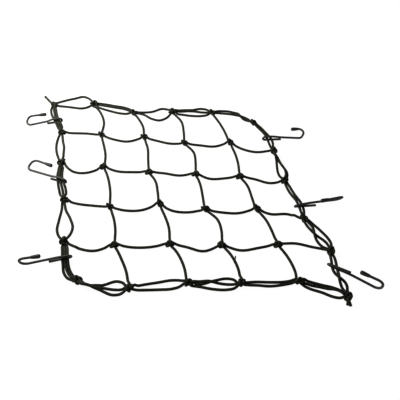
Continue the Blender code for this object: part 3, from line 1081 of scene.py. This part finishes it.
def new_group(name, inputs, outputs):
    tree = bpy.data.node_groups.new(name, "ShaderNodeTree")
    for label, kind, value in inputs:
        socket = tree.interface.new_socket(label, in_out="INPUT", socket_type=kind)
        if value is not None:
            socket.default_value = value
    for label in outputs:
        tree.interface.new_socket(label, in_out="OUTPUT", socket_type="NodeSocketFloat")
    return tree, tree.nodes.new("NodeGroupInput"), tree.nodes.new("NodeGroupOutput")


def maths(tree, operation, *terms):
    """A math node fed by numbers or sockets."""
    node = tree.nodes.new("ShaderNodeMath")
    node.operation = operation
    for socket, term in zip(node.inputs, terms):
        feed(socket, term)
    return node.outputs[0]


# %% Braid group
THREADS = 8  # in each family
FILAMENTS = 4  # fine yarns that lie side by side in one thread
GROOVE = 0.16  # depth of the grooves between them, as a share of the thread's height
FLAT_ACROSS = 0.6  # 1 for a thread with a round crown, less for a flatter one
FLAT_ALONG = 0.4  # the same along a stitch


def half_wave(tree, share):
    """A bulge from 0 over 1 back to 0, as the share goes from 0 to 1."""
    return maths(tree, "SINE", maths(tree, "MULTIPLY", share, math.pi))


def braid_group():
    """Height and thread number of the braid, from its UV."""
    tree, source, result = new_group(
        "braided_cover",
        [("Braid UV", "NodeSocketVector", None)],
        ["Height", "Thread"],
    )
    calc = partial(maths, tree)
    parts = tree.nodes.new("ShaderNodeSeparateXYZ")
    tune(parts, Vector=source.outputs["Braid UV"])
    round_it = calc("MULTIPLY", parts.outputs["X"], THREADS)
    lines = [calc(sense, round_it, parts.outputs["Y"]) for sense in ("ADD", "SUBTRACT")]
    counts = [calc("FLOOR", line) for line in lines]
    heights, names = [], []
    for own, other, first_stitch in ((0, 1, 0.0), (1, 0, 2.0)):
        across = calc("FRACT", lines[own])
        both = calc("ADD", lines[other], counts[own])
        along = calc("FLOORED_MODULO", both, 4.0)
        stitch = calc("DIVIDE", calc("SUBTRACT", along, first_stitch), 2.0)
        below = calc("GREATER_THAN", stitch, 0.0)
        on_top = calc("MULTIPLY", below, calc("LESS_THAN", stitch, 1.0))
        ridge = calc("POWER", half_wave(tree, across), FLAT_ACROSS)
        belly = calc("POWER", half_wave(tree, calc("FRACT", stitch)), FLAT_ALONG)
        fine = half_wave(tree, calc("FRACT", calc("MULTIPLY", across, FILAMENTS)))
        grooved = calc("MULTIPLY_ADD", fine, GROOVE, 1 - GROOVE)
        height = calc("MULTIPLY", calc("MULTIPLY", ridge, belly), grooved)
        heights.append(calc("MULTIPLY", height, on_top))
        name = calc("FLOORED_MODULO", counts[own], THREADS)
        named = calc("ADD", name, first_stitch * THREADS + 1)
        names.append(calc("MULTIPLY", named, on_top))
    pick = tree.nodes.new("ShaderNodeTexWhiteNoise")
    pick.noise_dimensions = "1D"
    tune(pick, W=calc("ADD", *names))
    tune(result, Height=calc("ADD", *heights), Thread=pick.outputs["Value"])
    print("nodes in the braid:", len(tree.nodes))
    return tree


# %% Material helpers
def shader_of(material):
    material.use_nodes = True
    return material.node_tree, material.node_tree.nodes["Principled BSDF"]


def placed_group(tree, group, **values):
    node = tree.nodes.new("ShaderNodeGroup")
    node.node_tree = group
    tune(node, **values)
    return node


def colour_between(tree, mask, low, high):
    mix = tree.nodes.new("ShaderNodeMix")
    mix.data_type = "RGBA"
    tune(mix, Factor=mask, A=(*low, 1), B=(*high, 1))
    return mix.outputs["Result"]


def noise(tree, detail, scale):
    """Noise in the object's own metres."""
    space = tree.nodes.new("ShaderNodeTexCoord")
    node = tree.nodes.new("ShaderNodeTexNoise")
    tune(node, Vector=space.outputs["Object"], Detail=detail, Scale=scale)
    return node.outputs["Fac"]


def steps_of(tree, value, low, high):
    """Spread a value so that low becomes 0 and high becomes 1."""
    node = tree.nodes.new("ShaderNodeMapRange")
    tune(node, Value=value, From_Min=low, From_Max=high)
    return node.outputs["Result"]


def bumped(tree, shader, height, distance):
    bump = tree.nodes.new("ShaderNodeBump")
    tune(bump, Height=height, Strength=1.0, Distance=distance)
    tune(shader, Normal=bump.outputs["Normal"])


# %% Cord material
CORD_DARK = (0.035, 0.036, 0.0265)
CORD_LIGHT = (0.066, 0.068, 0.053)
DUSTY = 0.25  # how much lighter the dusty patches are, 1 for a light thread


def cord_material(braid):
    material = bpy.data.materials.new("braided_elastic_cord")
    tree, shader = shader_of(material)
    uv = tree.nodes.new("ShaderNodeUVMap")
    uv.uv_map = "braid"
    cover = placed_group(tree, braid, Braid_UV=uv.outputs["UV"])
    dust = steps_of(tree, noise(tree, detail=3.0, scale=90.0), low=0.45, high=0.75)
    light_thread = steps_of(tree, cover.outputs["Thread"], low=0.55, high=1.0)
    crown = maths(tree, "MULTIPLY", cover.outputs["Height"], light_thread)
    tone = maths(tree, "ADD", crown, maths(tree, "MULTIPLY", dust, DUSTY))
    colour = colour_between(tree, tone, CORD_DARK, CORD_LIGHT)
    tune(shader, Base_Color=colour, Roughness=0.7, Specular_IOR_Level=0.05)
    bumped(tree, shader, cover.outputs["Height"], distance=0.00022)
    return material


cord_finish = cord_material(braid_group())
for piece in cord_pieces:
    piece.data.materials.append(cord_finish)

# %% [markdown]
# ## Coated wire and moulded tips
#
# The wire has a dark coating that is slightly uneven and has rubbed to a lighter grey in
# patches. The tips are moulded in a tougher plastic with a fine grain. Each could have its
# own nodes, but both wear in the same way, so they share one group, with their own amounts.


# %% Wear group
FINER = 9.0  # how much finer the grain is than the rubbed patches


def wear_group():
    """Rubbed patches and fine grain, from a scale and an amount of wear."""
    tree, source, result = new_group(
        "handled_surface",
        [("Scale", "NodeSocketFloat", 400.0), ("Amount", "NodeSocketFloat", 0.5)],
        ["Rubbed", "Grain"],
    )
    scale = source.outputs["Scale"]
    patches = steps_of(tree, noise(tree, detail=5.0, scale=scale), low=0.5, high=0.8)
    rubbed = maths(tree, "MULTIPLY", patches, source.outputs["Amount"])
    grain = noise(tree, detail=2.0, scale=maths(tree, "MULTIPLY", scale, FINER))
    tune(result, Rubbed=rubbed, Grain=grain)
    return tree


# %% Wire and tip materials
RUBBED_SMOOTH = -0.12  # roughness that rubbing takes away
HARD_GLOSS = 0.15
Finish = namedtuple("Finish", "dark light rough scale wear relief")
COATING = Finish((0.066, 0.066, 0.059), (0.095, 0.095, 0.087), 0.5, 260.0, 0.8, 0.00003)
MOULDED = Finish((0.050, 0.050, 0.044), (0.085, 0.085, 0.078), 0.55, 500.0, 0.6, 0.00005)


def hard_material(name, handled, finish):
    material = bpy.data.materials.new(name)
    tree, shader = shader_of(material)
    used = placed_group(tree, handled, Scale=finish.scale, Amount=finish.wear)
    rubbed = used.outputs["Rubbed"]
    colour = colour_between(tree, rubbed, finish.dark, finish.light)
    smoother = maths(tree, "MULTIPLY", rubbed, RUBBED_SMOOTH)
    roughness = maths(tree, "ADD", finish.rough, smoother)
    tune(shader, Base_Color=colour, Roughness=roughness, Specular_IOR_Level=HARD_GLOSS)
    bumped(tree, shader, used.outputs["Grain"], finish.relief)
    print(name, "nodes:", len(tree.nodes))
    return material


handled = wear_group()
wire_finish = hard_material("coated_wire", handled, COATING)
tip_finish = hard_material("moulded_plastic", handled, MOULDED)
for piece in hook_pieces:
    piece.data.materials.append(wire_finish)
for piece in tip_pieces:
    piece.data.materials.append(tip_finish)

# %% [markdown]
# ## Floor, light and camera
#
# The net lies on a white table under one large soft light from the far left, with white all
# round. A plain white floor would still turn grey in the shade, so this one also shines by
# itself, and shadows are faint. The camera looks down at the net from the near side.

# %% Floor
WHITE = (1.0, 1.0, 1.0)
FLOOR_HALF = 6.0  # metres
FLOOR_SHINE = 0.96


def add_floor():
    """A white table top that is not part of the net."""
    bm = bmesh.new()
    bmesh.ops.create_grid(bm, x_segments=1, y_segments=1, size=FLOOR_HALF)
    mesh = mesh_of("floor", bm)
    floor = in_scene("floor", mesh)
    material = bpy.data.materials.new("white_table")
    _, shader = shader_of(material)
    tune(shader, Base_Color=(0.1, 0.1, 0.1, 1), Roughness=0.9, Specular_IOR_Level=0.0)
    tune(shader, Emission_Color=(*WHITE, 1), Emission_Strength=FLOOR_SHINE)
    mesh.materials.append(material)
    print("floor", 2 * FLOOR_HALF, "m wide")


add_floor()


# %% Light
def add_light(name, where, size, power):
    data = bpy.data.lights.new(name, "AREA")
    data.size = size
    data.energy = power
    light = in_scene(name, data)
    light.location = where
    light.rotation_euler = (-light.location).to_track_quat("-Z", "Y").to_euler()
    print(name, power, "W,", size, "m wide")


add_light("soft_key", where=(-0.5, 0.2, 0.35), size=0.4, power=8.0)

# %% World and tone
world = bpy.data.worlds.new("studio")
bpy.context.scene.world = world
world.use_nodes = True
tune(world.node_tree.nodes["Background"], Color=(*WHITE, 1), Strength=0.25)
bpy.context.scene.view_settings.view_transform = "Standard"
bpy.context.scene.view_settings.gamma = 0.75

# %% Camera
CAMERA_AT = Vector((66.5, -486.5, 572.0))
CAMERA_PITCH = math.radians(50.8)
CAMERA_YAW = math.radians(3.6)
PICTURE = 400  # pixels each way
FOCAL_PIXELS = 470

camera_data = bpy.data.cameras.new("camera")
camera_data.sensor_width = 36.0
camera_data.lens = camera_data.sensor_width * FOCAL_PIXELS / PICTURE
camera = in_scene("camera", camera_data)
camera.location = (CAMERA_AT - BOX_MIDDLE) * MM
camera.rotation_euler = (math.pi / 2 - CAMERA_PITCH, 0, CAMERA_YAW)
bpy.context.scene.camera = camera
print("camera lens", round(camera_data.lens, 1), "mm")
